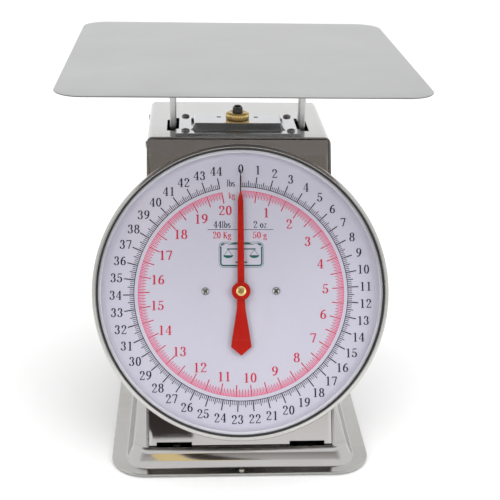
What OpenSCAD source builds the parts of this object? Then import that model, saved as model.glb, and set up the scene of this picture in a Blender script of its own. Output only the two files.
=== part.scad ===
// Mechanical dial platform scale.
// A weigh tray on two posts pulls a sprung carriage down, and a slanted rack on the carriage
// turns the dial's pointer. The dial faces -Y, +Z is up, and the origin is the middle of the
// whole scale's outline, on the bench. Millimetres. The scale is drawn unloaded.

/* [Weigh tray] */
// Side of the square weigh tray
tray_size = 254; // [240:1:270]
// Height of the tray's top face above the bench
tray_top_z = 274; // [272:1:290]
// Radius of the tray's corners
tray_corner_r = 20; // [5:1:40]
// Thickness of the tray's sheet
tray_t = 1.2; // [0.8:0.1:2]

/* [Base] */
// Depth from the base's front edge to the tray's rear edge
overall_d = 284; // [280:1:300]
// Width of the pressed base
base_w = 190; // [184:1:210]
// Front to back length of the pressed base
base_l = 245; // [240:1:250]
// Radius of the base's outer corners
base_corner_r = 26; // [20:1:34]
// Height of the base's raised deck
deck_z = 13; // [12:0.5:16]

/* [Housing] */
// Width of the housing
housing_w = 139; // [136:1:146]
// Height of the housing's top above the bench
housing_top_z = 218; // [214:1:222]
// Depth of the housing where it stands on the base
housing_bottom_d = 207; // [204:1:209]
// Depth of the housing's flat top
housing_top_d = 101.5; // [99:0.5:104]
// Thickness of the housing's sheet
sheet_t = 1; // [0.8:0.1:1.2]

/* [Dial] */
// Outer radius of the bezel
bezel_r = 107.8; // [106:0.1:109]
// Distance from the front panel to the bezel's front
dial_depth = 24; // [23.5:0.1:26]
// Distance of the dial's axis above the front panel's foot, along the slope
dial_up = 113.8; // [112:0.1:116]
// Half the distance between the dial's two screws
dial_screw_x = 26; // [24:0.5:28]

/* [Movement] */
// Teeth on the pinion
pinion_teeth = 13; // [12:1:15]
// Module of the pinion and rack
gear_module = 0.4; // [0.38:0.01:0.42]
// Reach of each guide lever from pivot to pivot
lever_l = 60; // [58:1:61]
// Angle of the guide levers above level when the tray is empty
lever_rise = 8.5; // [7:0.5:9]
// Half the distance between the two tray posts
post_x = 50; // [49:0.5:51]
// Half the distance between the two main springs
spring_x = 22; // [20:0.5:24]

/* [Hidden] */
$fn = 64;
eps = 0.01;

// Colours
steel = [0.74, 0.75, 0.76];
polished = [0.62, 0.6, 0.58];
zinc = [0.6, 0.62, 0.64];
brass_yellow = [0.78, 0.6, 0.25];
rubber_black = [0.08, 0.08, 0.09];

// Places along Y: the base's front edge and the tray's rear edge share the outline
base_front_y = -overall_d / 2;
base_mid_y = base_front_y + base_l / 2;
tray_y = overall_d / 2 - tray_size / 2;
post_y = tray_y;

// Base pressing
foot_h = 1.5;
base_t = 1.2;
flange_w = 11;
end_flange_w = 8.5;
wall_run = 6;
end_wall_run = 9.5;
foot_r = 8;
foot_dx = base_w / 2 - 32;
foot_dy = base_l / 2 - 32;
screw_r = 1.5;
screw_head_r = 3;
screw_head_h = 1.8;

// Housing wedge
front_foot_y = base_front_y + 20;
back_y = front_foot_y + housing_bottom_d;
front_top_y = back_y - housing_top_d;
lean = atan((front_top_y - front_foot_y) / (housing_top_z - deck_z));
slope_l = (housing_top_z - deck_z) / cos(lean);
shell_corner_r = 4.5;
edge_w = 1.6;
top_edge_w = 1.2;
seam = 0.3;
top_seam = 0.8;
panel_foot = 1.2;
slit_x = 36;
slit_w = 26;
slit_h = 3.5;

// Dial stack, as heights out from the front panel's face
drum_r = 105.4;
drum_gap = 1.2;
drum_wall = 1.2;
lens_z = 19.4;
lens_t = 2;
gasket_t = 1;
bezel_skirt = 8;
bezel_lip = 0.6;
bezel_round = 1;
face_z = 11.8;
face_t = 0.8;
face_top_z = face_z + face_t;
face_rim_r = 101.4;
hub_bottom_z = 14.6;
hub_top_z = 18;
blade_z = 15.5;
blade_t = 1.2;
arbor_r = 1.5;
running_gap = 0.05;

// Movement, as depths behind the front panel's face
plate_t = 2;
movement_front_z = -sheet_t;
movement_gap = 16;
movement_rear_z = movement_front_z - plate_t - movement_gap;
plate_w = 64;
plate_h = 30;
pillar_x = 26;
pillar_y = 10;
pillar_r = 3;

// Rack and pinion
pitch_r = gear_module * pinion_teeth / 2;
pressure = 20;
tooth_up = 0.75 * gear_module;
tooth_down = 1.1 * gear_module;
backlash = 0.04;
tooth_pitch = PI * gear_module;
rack_w = 3;
rack_z = -8;
rack_back_x = pitch_r + 4;
rack_stem_y = -40;
rack_top_y = 21;

// Carriage
post_t = 5;
post_w = 12;
post_foot_z = 150;
strap_t = 3;
strap_w = 14;
strap_top_z = 205;
strap_bottom_z = 50;
bracket_t = 2;
socket_h = 9;
post_top_z = tray_top_z - tray_t - bracket_t;
arm_x = rack_back_x;
arm_t = 3;
arm_h = 8;

// Guide levers
lever_pivot_y = post_y - 3 + lever_l;
upper_pivot_z = 180;
lower_pivot_z = 60;
lever_plate_x = 41;
lever_plate_t = 2;
lever_h = 10;
rod_r = 2.5;
pin_r = 2;
pin_slot = 1.2;
chassis_x = 45;
chassis_t = 2;
chassis_d = 22;
chassis_top_z = 196;

// Zero adjuster
bridge_t = 1.5;
bridge_w = 96;
bridge_d = 54;
bridge_raised_w = 67;
bridge_raised_d = 26;
bridge_rise = 4;
bridge_ramp = 6;
bridge_screw_x = 40.4;
bridge_screw_y = 20;
knob_z = housing_top_z + bridge_rise + bridge_t;
knob_h = 5.5;
knob_r = 9.1;
stud_r = 4;
stud_top_z = knob_z + knob_h + 5.5;
hanger_z = 199;
hanger_h = 6;

// ---------- Helpers ----------

// Rectangle centred on the origin with true round corners
module rounded_rect(w, l, r) {
    square([w - 2 * r, l], center = true);
    square([w, l - 2 * r], center = true);
    for (x = [-1, 1], y = [-1, 1])
        translate([x * (w / 2 - r), y * (l / 2 - r)])
            circle(r);
}

// Places children at the four corners of a rectangle
module at_corners(dx, dy) {
    for (x = [-1, 1], y = [-1, 1])
        translate([x * dx, y * dy, 0])
            children();
}

// Mirrors children to both sides of the YZ plane
module both_sides() {
    children();
    mirror([1, 0, 0])
        children();
}

// Sloping front: origin at the panel's foot, Y up the slope, Z out of the panel
module on_front() {
    translate([0, front_foot_y, deck_z])
        rotate([90 - lean, 0, 0])
            children();
}

// Dial: as on_front, with the origin on the dial's axis
module on_dial() {
    on_front()
        translate([0, dial_up, 0])
            children();
}

module tube(r_out, r_in, h) {
    difference() {
        cylinder(r = r_out, h = h);
        translate([0, 0, -1])
            cylinder(r = r_in, h = h + 2);
    }
}

// Pan head screw: head above z = 0, shank below
module pan_screw(shank_l, head_r = screw_head_r, head_h = screw_head_h, r = screw_r) {
    difference() {
        intersection() {
            cylinder(r = head_r, h = head_h);
            translate([0, 0, head_h - 2 * head_r])
                sphere(r = 2 * head_r);
        }
        for (a = [0, 90])
            rotate([0, 0, a])
                translate([-head_r * 0.6, -0.35, head_h * 0.45])
                    cube([head_r * 1.2, 0.7, head_h]);
    }
    translate([0, 0, -shank_l])
        cylinder(r = r, h = shank_l + eps);
}

// ---------- Base ----------

// One skin of the pressed deck, from the flange up to the deck's top
module deck_form(grow, top) {
    foot_w = base_w - 2 * flange_w + 2 * grow;
    foot_l = base_l - 2 * end_flange_w + 2 * grow;
    hull() {
        translate([0, 0, foot_h])
            linear_extrude(eps)
                rounded_rect(foot_w, foot_l, base_corner_r - flange_w + 4, $fn = 32);
        translate([0, 0, top - eps])
            linear_extrude(eps)
                rounded_rect(foot_w - 2 * wall_run, foot_l - 2 * end_wall_run, 12, $fn = 32);
    }
}

module base_plate() {
    color(steel)
        translate([0, base_mid_y, 0])
            difference() {
                union() {
                    translate([0, 0, foot_h])
                        linear_extrude(base_t)
                            rounded_rect(base_w, base_l, base_corner_r);
                    deck_form(0, deck_z);
                }
                deck_form(-base_t, deck_z - base_t);
                translate([0, 0, foot_h - 1])
                    linear_extrude(1 + eps * 2)
                        rounded_rect(base_w - 2 * flange_w - 2 * base_t,
                            base_l - 2 * end_flange_w - 2 * base_t, base_corner_r - flange_w + 4);
                at_corners(foot_dx, foot_dy)
                    cylinder(r = screw_r, h = deck_z + 1);
                translate([0, -base_mid_y, 0])
                    base_screw_places()
                        cylinder(r = screw_r, h = deck_z + 1);
                translate([0, -base_mid_y, 0])
                    chassis_screw_places()
                        cylinder(r = screw_r, h = deck_z + 1);
                translate([0, -base_l / 2 + end_flange_w / 2, 0])
                    cylinder(r = 1, h = foot_h + base_t + 1);
            }
}

module rubber_feet() {
    color(rubber_black)
        translate([0, base_mid_y, 0])
            at_corners(foot_dx, foot_dy)
                difference() {
                    rotate_extrude()
                        polygon([[0, 0], [foot_r - 1, 0], [foot_r, 1],
                            [foot_r, deck_z - base_t], [0, deck_z - base_t]]);
                    translate([0, 0, -1])
                        cylinder(r = screw_head_r + 1, h = 5);
                    cylinder(r = screw_r, h = deck_z);
                }
}

module foot_screws() {
    color(zinc)
        translate([0, base_mid_y, 4])
            at_corners(foot_dx, foot_dy)
                rotate([180, 0, 0])
                    pan_screw(deck_z - 4);
}

module base_front_screw() {
    color(zinc)
        translate([0, base_front_y + end_flange_w / 2, foot_h + base_t])
            pan_screw(base_t + 0.8, head_r = 1.9, head_h = 1.3, r = 1);
}

// ---------- Housing ----------

// Cross-section of the housing seen from the front, less the given wall at the top and sides
module shell_section(wall) {
    w = housing_w - 2 * wall;
    top = housing_top_z - wall;
    r = shell_corner_r - wall;
    translate([-w / 2, deck_z])
        square([w, top - r - deck_z]);
    translate([r - w / 2, deck_z])
        square([w - 2 * r, top - deck_z]);
    for (s = [-1, 1])
        translate([s * (w / 2 - r), top - r])
            circle(r);
}

// Solid wedge that fills the housing, less the given wall at the top and sides
module wedge(wall, y_start, y_end) {
    difference() {
        translate([0, y_end, 0])
            rotate([90, 0, 0])
                linear_extrude(y_end - y_start)
                    shell_section(wall);
        on_front()
            translate([-housing_w, -housing_w, 0])
                cube([2 * housing_w, 2 * slope_l, housing_w]);
    }
}

module housing_shell() {
    in_w = housing_w - 2 * sheet_t;
    color(polished)
        difference() {
            union() {
                difference() {
                    wedge(0, front_foot_y - 1, back_y);
                    shell_inside();
                }
                // edges turned in beside and above the front panel
                intersection() {
                    wedge(0, front_foot_y - 1, back_y);
                    on_front()
                        union() {
                            both_sides()
                                translate([housing_w / 2 - edge_w, 0, -sheet_t])
                                    cube([edge_w, slope_l + 2, sheet_t]);
                            translate([-housing_w / 2, slope_l - top_edge_w, -sheet_t])
                                cube([housing_w, top_edge_w + 2, sheet_t]);
                        }
                }
                // feet turned in along the base
                both_sides()
                    translate([in_w / 2 - 12, front_foot_y + 12, deck_z])
                        cube([12 + eps, housing_bottom_d - 20, sheet_t]);
                // edges turned in behind the rear panel's screws
                both_sides()
                    translate([in_w / 2 - 14, back_y - 2 * sheet_t, deck_z + 2])
                        cube([14 + eps, sheet_t, housing_top_z - deck_z - 10]);
            }
            post_holes();
            translate([0, post_y, housing_top_z - 5])
                cylinder(r = stud_r + 2, h = 10);
            translate([0, post_y, housing_top_z - 5])
                at_corners(bridge_screw_x, bridge_screw_y)
                    cylinder(r = screw_r, h = 10);
            base_screw_places()
                cylinder(r = screw_r, h = deck_z + 5);
            side_screw_places()
                translate([0, 0, -4])
                    cylinder(r = screw_r, h = 8);
            rear_screw_places()
                translate([0, 0, -5])
                    cylinder(r = screw_r, h = 10);
        }
}

// Space inside the shell, open at the front, back and bottom
module shell_inside() {
    translate([0, back_y + 1, 0])
        rotate([90, 0, 0])
            linear_extrude(housing_bottom_d + 20) {
                shell_section(sheet_t);
                translate([-housing_w / 2 + sheet_t, 0])
                    square([housing_w - 2 * sheet_t, deck_z + 20]);
            }
}

module post_holes() {
    both_sides()
        translate([post_x, post_y, housing_top_z - 5])
            linear_extrude(10)
                square([9.4, 30], center = true);
}

// Children at the four screws that hold the shell's feet to the deck
module base_screw_places() {
    for (y = [front_foot_y + 40, back_y - 40])
        both_sides()
            translate([housing_w / 2 - 7, y, 0])
                children();
}

// Children at the side screws, with Z out of the housing's side
module side_screw_places() {
    for (y = [front_top_y + 16, back_y - 10])
        both_sides()
            translate([housing_w / 2, y, housing_top_z - 11])
                rotate([0, 90, 0])
                    children();
}

module side_screws() {
    color(zinc)
        side_screw_places()
            pan_screw(5, head_h = 2);
}

module housing_base_screws() {
    color(zinc)
        base_screw_places()
            translate([0, 0, deck_z - base_t])
                rotate([180, 0, 0])
                    pan_screw(4);
}

module front_panel() {
    w = housing_w - 2 * edge_w - 2 * seam;
    color(polished)
        on_front()
            translate([0, 0, -sheet_t])
                linear_extrude(sheet_t)
                    difference() {
                        translate([-w / 2, panel_foot])
                            square([w, slope_l - top_edge_w - top_seam - panel_foot]);
                        both_sides()
                            translate([slit_x, 0])
                                square([slit_w, slit_h]);
                        translate([0, dial_up])
                            circle(r = 8);
                        for (s = [-1, 1])
                            translate([s * dial_screw_x, dial_up])
                                circle(r = screw_r);
                    }
}

// Children at the rear panel's four screws, with Z out of the panel
module rear_screw_places() {
    for (z = [deck_z + 14, housing_top_z - 14])
        both_sides()
            translate([housing_w / 2 - 10, back_y, z])
                rotate([-90, 0, 0])
                    children();
}

// Plate that closes the back, inside the shell's edge
module rear_panel() {
    color(steel)
        difference() {
            translate([0, back_y, 0])
                rotate([90, 0, 0])
                    linear_extrude(sheet_t)
                        difference() {
                            shell_section(sheet_t + seam);
                            translate([-housing_w / 2, 0])
                                square([housing_w, deck_z + seam]);
                            for (i = [-3:3])
                                translate([i * 12, deck_z + 34])
                                    rear_slot();
                        }
            rear_screw_places()
                translate([0, 0, -5])
                    cylinder(r = screw_r, h = 10);
        }
}

// One upright ventilation slot with round ends
module rear_slot() {
    square([4, 22], center = true);
    for (s = [-1, 1])
        translate([0, s * 11])
            circle(2);
}

module rear_panel_screws() {
    color(zinc)
        rear_screw_places()
            pan_screw(4);
}

// ---------- Bridge on top ----------

// Plate with a raised middle that carries the zero knob; the ramps run front and back
module top_bridge() {
    half = bridge_raised_d / 2;
    color(steel)
        translate([0, post_y, housing_top_z])
            difference() {
                union() {
                    linear_extrude(bridge_t)
                        rounded_rect(bridge_w, bridge_d, 4);
                    raised_form(0, bridge_rise + bridge_t);
                }
                translate([0, 0, -eps])
                    raised_form(-bridge_t, bridge_rise);
                translate([0, 0, -1])
                    cylinder(r = stud_r + 0.6, h = 10);
                at_corners(bridge_screw_x, bridge_screw_y)
                    translate([0, 0, -1])
                        cylinder(r = screw_r, h = 5);
                for (s = [-1, 1])
                    translate([s * 14.5, half * 0.35, bridge_rise + 1])
                        cube([3.6, 1.6, 4], center = true);
                both_sides()
                    translate([post_x, 0, 0])
                        cube([9.4, 30, 10], center = true);
            }
}

// Raised block with ramps at the front and back, grown by the given amount
module raised_form(grow, top) {
    half = bridge_raised_d / 2 + grow;
    w = bridge_raised_w + 2 * grow;
    rotate([90, 0, 90])
        translate([0, 0, -w / 2])
            linear_extrude(w)
                polygon([[-half - bridge_ramp, 0], [-half, top], [half, top], [half + bridge_ramp, 0]]);
}

module bridge_screws() {
    color(zinc)
        translate([0, post_y, housing_top_z + bridge_t])
            at_corners(bridge_screw_x, bridge_screw_y)
                pan_screw(5, head_r = 3.15);
}

// ---------- Chassis and levers ----------

// Children at the chassis' screws to the deck
module chassis_screw_places() {
    both_sides()
        translate([chassis_x - 10, lever_pivot_y, 0])
            children();
}

// Channel that stands on the deck behind the carriage and carries the lever rods
module inner_chassis() {
    web_y = lever_pivot_y + chassis_d / 2 - chassis_t;
    color(zinc)
        difference() {
            union() {
                both_sides()
                    translate([chassis_x, lever_pivot_y - chassis_d / 2, deck_z])
                        cube([chassis_t, chassis_d, chassis_top_z - deck_z]);
                translate([-chassis_x, web_y - eps, deck_z])
                    cube([2 * chassis_x, chassis_t, chassis_top_z - deck_z]);
                both_sides()
                    translate([chassis_x - 20, lever_pivot_y - chassis_d / 2, deck_z])
                        cube([20 + eps, chassis_d, chassis_t]);
            }
            for (z = [upper_pivot_z, lower_pivot_z])
                translate([-chassis_x - 5, lever_pivot_y, z])
                    rotate([0, 90, 0])
                        cylinder(r = rod_r, h = 2 * chassis_x + 10);
            chassis_screw_places()
                cylinder(r = screw_r, h = deck_z + 5);
            translate([0, web_y - 1, (upper_pivot_z + lower_pivot_z) / 2])
                cube([50, 10, 70], center = true);
        }
}

module chassis_screws() {
    color(zinc)
        chassis_screw_places()
            translate([0, 0, deck_z - base_t])
                rotate([180, 0, 0])
                    pan_screw(4);
}

module lever_pivot_rods() {
    color(zinc)
        for (z = [upper_pivot_z, lower_pivot_z])
            translate([-chassis_x - chassis_t - 2, lever_pivot_y, z])
                rotate([0, 90, 0])
                    cylinder(r = rod_r, h = 2 * (chassis_x + chassis_t + 2));
}

// Side plate of a lever, seen along X: fixed pivot at the origin, free end at -lever_l
module lever_outline() {
    difference() {
        union() {
            circle(lever_h / 2);
            translate([-lever_l, -lever_h / 2])
                square([lever_l, lever_h]);
            translate([-lever_l, 0])
                circle(lever_h / 2);
        }
        circle(rod_r + running_gap);
        translate([-lever_l, 0])
            square([2 * pin_slot, 2 * (pin_r + 0.3)], center = true);
        for (s = [-1, 1])
            translate([-lever_l + s * pin_slot, 0])
                circle(pin_r + 0.3);
    }
}

module guide_lever(pivot_z) {
    color(zinc)
        translate([0, lever_pivot_y, pivot_z])
            rotate([-lever_rise, 0, 0]) {
                both_sides()
                    translate([lever_plate_x, 0, 0])
                        rotate([90, 0, 90])
                            linear_extrude(lever_plate_t)
                                lever_outline();
                translate([-lever_plate_x - eps, -lever_l + 22, -1])
                    cube([2 * lever_plate_x + 2 * eps, 16, 2]);
            }
}

module upper_lever() {
    guide_lever(upper_pivot_z);
}

module lower_lever() {
    guide_lever(lower_pivot_z);
}

// ---------- Dial ----------

module dial_drum() {
    color(steel)
        on_dial()
            difference() {
                cylinder(r = drum_r, h = lens_z, $fn = 128);
                translate([0, 0, sheet_t])
                    cylinder(r = drum_r - drum_wall, h = lens_z, $fn = 128);
                translate([0, 0, -1])
                    cylinder(r = 8, h = 5);
                for (s = [-1, 1])
                    translate([s * dial_screw_x, 0, -1])
                        cylinder(r = screw_r, h = 5);
            }
}

module dial_spacers() {
    color(zinc)
        on_dial()
            for (s = [-1, 1])
                translate([s * dial_screw_x, 0, sheet_t])
                    tube(3.5, screw_r, face_z - sheet_t);
}

module dial_face() {
    color([0.93, 0.93, 0.95])
        on_dial()
            translate([0, 0, face_z])
                difference() {
                    cylinder(r = drum_r - 1.3, h = lens_z - face_z, $fn = 128);
                    translate([0, 0, face_t])
                        cylinder(r = face_rim_r, h = lens_z, $fn = 128);
                    translate([0, 0, -1])
                        cylinder(r = 3, h = 4);
                    for (s = [-1, 1])
                        translate([s * dial_screw_x, 0, -1])
                            cylinder(r = screw_r, h = 4);
                }
}

module dial_screws() {
    color(zinc)
        on_dial()
            for (s = [-1, 1])
                translate([s * dial_screw_x, 0, face_top_z])
                    pan_screw(face_top_z + sheet_t + plate_t, head_r = 2.9);
}

module lens() {
    color([0.9, 0.95, 1, 0.3])
        on_dial()
            translate([0, 0, lens_z])
                cylinder(r = drum_r, h = lens_t, $fn = 128);
}

module lens_gasket() {
    color(rubber_black)
        on_dial()
            translate([0, 0, lens_z + lens_t])
                tube(drum_r, drum_r - 2, gasket_t, $fn = 128);
}

// Rolled ring: a wall round the drum and a lip over the gasket
module bezel_ring() {
    wall = bezel_r - drum_r - drum_gap;
    color(steel)
        on_dial()
            rotate_extrude($fn = 128)
                union() {
                    translate([bezel_r - wall, lens_z - bezel_skirt])
                        square([wall, dial_depth - lens_z + bezel_skirt - bezel_round]);
                    translate([drum_r - bezel_lip, lens_z + lens_t + gasket_t])
                        square([bezel_r - drum_r + bezel_lip - bezel_round,
                            dial_depth - lens_z - lens_t - gasket_t]);
                    translate([bezel_r - bezel_round, dial_depth - bezel_round])
                        circle(bezel_round, $fn = 32);
                }
}

// ---------- Movement ----------

module movement_plate_shape(hole_r) {
    difference() {
        rounded_rect(plate_w, plate_h, 4);
        circle(hole_r);
        at_corners(pillar_x, pillar_y)
            circle(screw_r);
        children();
    }
}

module movement_front_plate() {
    color(brass_yellow)
        on_dial()
            translate([0, 0, movement_front_z - plate_t])
                linear_extrude(plate_t)
                    movement_plate_shape(3)
                        for (s = [-1, 1])
                            translate([s * dial_screw_x, 0])
                                circle(screw_r);
}

module movement_rear_plate() {
    color(brass_yellow)
        on_dial()
            translate([0, 0, movement_rear_z - plate_t])
                linear_extrude(plate_t)
                    movement_plate_shape(3);
}

module movement_pillars() {
    color(brass_yellow)
        on_dial()
            translate([0, 0, movement_rear_z])
                at_corners(pillar_x, pillar_y)
                    tube(pillar_r, screw_r, movement_gap);
}

module movement_screws() {
    color(zinc)
        on_dial()
            translate([0, 0, movement_rear_z - plate_t])
                at_corners(pillar_x, pillar_y)
                    rotate([180, 0, 0])
                        pan_screw(movement_gap + 2 * plate_t);
}

module front_bush() {
    color(brass_yellow)
        on_dial()
            translate([0, 0, movement_front_z - plate_t])
                tube(3, arbor_r + running_gap, plate_t);
}

module rear_bush() {
    color(brass_yellow)
        on_dial()
            translate([0, 0, movement_rear_z - plate_t])
                tube(3, arbor_r + running_gap, plate_t);
}

// ---------- Pointer ----------

module pointer_arbor() {
    color(zinc)
        on_dial()
            translate([0, 0, movement_rear_z - plate_t - 0.5])
                cylinder(r = arbor_r, h = hub_top_z - movement_rear_z + plate_t);
}

// Angle that an involute from the base circle sweeps by the radius r, in degrees
function involute_angle(r) =
    let (base_r = pitch_r * cos(pressure), t = acos(min(1, base_r / r)))
    tan(t) * 180 / PI - t;

// Half the angle that a pinion tooth fills at the radius r
function half_tooth(r) =
    90 / pinion_teeth - backlash / pitch_r * 90 / PI
    + involute_angle(pitch_r) - involute_angle(r);

module pinion() {
    base_r = pitch_r * cos(pressure);
    root_r = pitch_r - tooth_down;
    tip_r = pitch_r + tooth_up;
    flank = [for (k = [0:4]) base_r + (tip_r - base_r) * k / 4];
    tooth = 360 / pinion_teeth;
    outline = [
        for (i = [0:pinion_teeth - 1])
            let (mid = i * tooth)
            each concat(
                [polar(root_r, mid - half_tooth(base_r) - 1)],
                [for (r = flank) polar(r, mid - half_tooth(r))],
                [for (k = [4:-1:0]) polar(flank[k], mid + half_tooth(flank[k]))],
                [polar(root_r, mid + half_tooth(base_r) + 1)]
            )
    ];
    color(brass_yellow)
        on_dial()
            translate([0, 0, movement_rear_z + 1])
                difference() {
                    linear_extrude(movement_gap - 2)
                        polygon(outline);
                    translate([0, 0, -1])
                        cylinder(r = arbor_r, h = movement_gap + 2);
                }
}

function polar(r, a) = [r * cos(a), r * sin(a)];

module pointer() {
    color([0.8, 0.08, 0.05])
        on_dial()
            difference() {
                union() {
                    translate([0, 0, hub_bottom_z])
                        cylinder(r = 6.8, h = hub_top_z - hub_bottom_z);
                    translate([0, 0, blade_z])
                        linear_extrude(blade_t)
                            polygon([[-2.5, 0], [-2.1, 68], [-0.45, 73], [-0.35, 89.6],
                                [0.35, 89.6], [0.45, 73], [2.1, 68], [2.5, 0],
                                [3, -12], [7.6, -41], [0, -47], [-7.6, -41], [-3, -12]]);
                }
                cylinder(r = arbor_r, h = hub_top_z + 1);
            }
}

module pointer_screw() {
    color(brass_yellow)
        on_dial()
            translate([0, 0, hub_top_z - 0.5])
                difference() {
                    intersection() {
                        translate([0, 0, 0.5])
                            cylinder(r = 3.65, h = 1.1);
                        translate([0, 0, 1.6 - 8])
                            sphere(r = 8);
                    }
                    for (a = [20, 110])
                        rotate([0, 0, a])
                            translate([-2.2, -0.4, 1])
                                cube([4.4, 0.8, 2]);
                }
}

// ---------- Carriage ----------

module weigh_tray() {
    color(steel)
        translate([0, tray_y, tray_top_z - tray_t])
            linear_extrude(tray_t)
                rounded_rect(tray_size, tray_size, tray_corner_r);
}

module tray_bracket() {
    color(zinc)
        translate([0, post_y, post_top_z])
            linear_extrude(bracket_t)
                rounded_rect(2 * post_x + 24, 50, 8);
}

module tray_sockets() {
    color(zinc)
        both_sides()
            translate([post_x, post_y, post_top_z - socket_h])
                linear_extrude(socket_h)
                    difference() {
                        square([post_t + 5, post_w + 6], center = true);
                        rounded_rect(post_t, post_w, 1);
                    }
}

module support_posts() {
    color(zinc)
        both_sides()
            difference() {
                translate([post_x, post_y, post_foot_z])
                    linear_extrude(post_top_z - post_foot_z)
                        rounded_rect(post_t, post_w, 1);
                carriage_pin_places()
                    cylinder(r = pin_r, h = 20);
                post_screw_places()
                    translate([0, 0, -post_t - strap_t - 1])
                        cylinder(r = screw_r, h = 20);
            }
}

// Children at the carriage pins on the +X side, with Z along +X from the levers outwards
module carriage_pin_places() {
    rise = lever_l * sin(lever_rise);
    for (z = [upper_pivot_z, lower_pivot_z])
        translate([lever_plate_x - 1, lever_pivot_y - lever_l * cos(lever_rise), z + rise])
            rotate([0, 90, 0])
                children();
}

// Children at the post screws on the +X side, with Z out of the strap
module post_screw_places() {
    for (z = [post_foot_z + 8, post_foot_z + 26])
        translate([post_x + post_t / 2 + strap_t, post_y, z])
            rotate([0, 90, 0])
                children();
}

// Strap bent to a U: up both posts and across under the springs
module carriage_frame() {
    outer_x = post_x + post_t / 2 + strap_t;
    color(zinc)
        difference() {
            union() {
                both_sides()
                    translate([outer_x - strap_t, post_y - strap_w / 2, strap_bottom_z])
                        cube([strap_t, strap_w, strap_top_z - strap_bottom_z]);
                translate([-outer_x, post_y - strap_w / 2, strap_bottom_z])
                    cube([2 * outer_x, strap_w, strap_t]);
            }
            both_sides() {
                carriage_pin_places()
                    cylinder(r = pin_r, h = 20);
                post_screw_places()
                    translate([0, 0, -post_t - strap_t - 1])
                        cylinder(r = screw_r, h = 20);
                translate([spring_x, post_y, strap_bottom_z - 1])
                    cylinder(r = 3.5, h = 10);
            }
        }
}

module post_screws() {
    color(zinc)
        both_sides()
            post_screw_places()
                pan_screw(strap_t + post_t);
}

module carriage_pins() {
    color(zinc)
        both_sides()
            carriage_pin_places()
                cylinder(r = pin_r, h = post_x + post_t / 2 + strap_t - lever_plate_x + 1);
}

// Point in the YZ plane, from its distance up the slope and out from the dial's centre
function slope_point(up, out) = [
    dial_y() + up * sin(lean) - out * cos(lean),
    dial_z() + up * cos(lean) + out * sin(lean)
];

// Distance up the slope where the line at the given height out reaches z
function slope_up(z, out) = (z - dial_z() - out * sin(lean)) / cos(lean);

// Arm cut from plate: a bar forward from the strap, and a stem up the slope beside the rack
module rack_arm() {
    front = rack_z + rack_w + 1;
    back = rack_z - 1;
    top = -19;
    low_z = strap_bottom_z;
    high_z = strap_bottom_z + arm_h;
    end_y = post_y - strap_w / 2;
    color(zinc)
        difference() {
            union() {
                translate([arm_x, 0, 0])
                    rotate([90, 0, 90])
                        linear_extrude(arm_t)
                            polygon([
                                slope_point(slope_up(low_z, front), front),
                                slope_point(top, front),
                                slope_point(top, back),
                                slope_point(slope_up(high_z, back), back),
                                [end_y, high_z],
                                [end_y, low_z]
                            ]);
                translate([arm_x - 8, end_y - 2, low_z])
                    cube([arm_t + 16, 2, arm_h]);
            }
            rack_screw_places()
                translate([0, 0, -10])
                    cylinder(r = 1, h = 20);
            arm_screw_places()
                translate([0, 0, -10])
                    cylinder(r = 1, h = 20);
        }
}

// Where the dial's axis meets the front panel's face
function dial_y() = front_foot_y + dial_up * sin(lean);
function dial_z() = deck_z + dial_up * cos(lean);

// Children at the screws through the rack's stem, with Z along +X
module rack_screw_places() {
    on_dial()
        for (y = [-36, -24])
            translate([arm_x + arm_t, y, rack_z + rack_w / 2])
                rotate([0, 90, 0])
                    children();
}

// Children at the screws that hold the arm's foot to the strap's front edge
module arm_screw_places() {
    for (x = [-5, 12])
        translate([arm_x + x - 1, post_y - strap_w / 2 - 2, strap_bottom_z + strap_t / 2])
            rotate([90, 0, 0])
                children();
}

module rack_arm_screws() {
    color(zinc)
        arm_screw_places()
            pan_screw(2, head_r = 1.4, head_h = 1, r = 1);
}

module gear_rack() {
    slope = tan(pressure);
    half = tooth_pitch / 4 - backlash / 2;
    first = -3;
    last = 15;
    root_x = pitch_r + tooth_up + 0.1;
    teeth = [
        for (i = [last:-1:first])
            let (y = (i + 0.5) * tooth_pitch)
            each [
                [root_x, y + half + (root_x - pitch_r) * slope],
                [pitch_r - tooth_up, y + half - tooth_up * slope],
                [pitch_r - tooth_up, y - half + tooth_up * slope],
                [root_x, y - half - (root_x - pitch_r) * slope]
            ]
    ];
    color(brass_yellow)
        difference() {
            on_dial()
                translate([0, 0, rack_z])
                    linear_extrude(rack_w)
                        polygon(concat(
                            [[root_x, rack_stem_y], [rack_back_x, rack_stem_y],
                             [rack_back_x, rack_top_y], [root_x, rack_top_y]],
                            teeth));
            rack_screw_places()
                translate([0, 0, -10])
                    cylinder(r = 1, h = 20);
        }
}

module rack_screws() {
    color(zinc)
        rack_screw_places()
            pan_screw(arm_t + 3, head_r = 1.9, head_h = 1.2, r = 1);
}

// ---------- Zero adjuster and springs ----------

module zero_knob() {
    ribs = 48;
    outline = [for (i = [0:2 * ribs - 1]) polar(i % 2 == 0 ? knob_r : knob_r - 0.45, i * 180 / ribs)];
    color(brass_yellow)
        translate([0, post_y, knob_z])
            difference() {
                intersection() {
                    linear_extrude(knob_h)
                        polygon(outline);
                    rotate_extrude()
                        polygon([[0, 0], [knob_r - 1, 0], [knob_r + 0.1, 1],
                            [knob_r + 0.1, knob_h - 1.2], [knob_r - 1.4, knob_h], [0, knob_h]]);
                }
                translate([0, 0, -1])
                    cylinder(r = stud_r + running_gap, h = knob_h + 2);
            }
}

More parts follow.
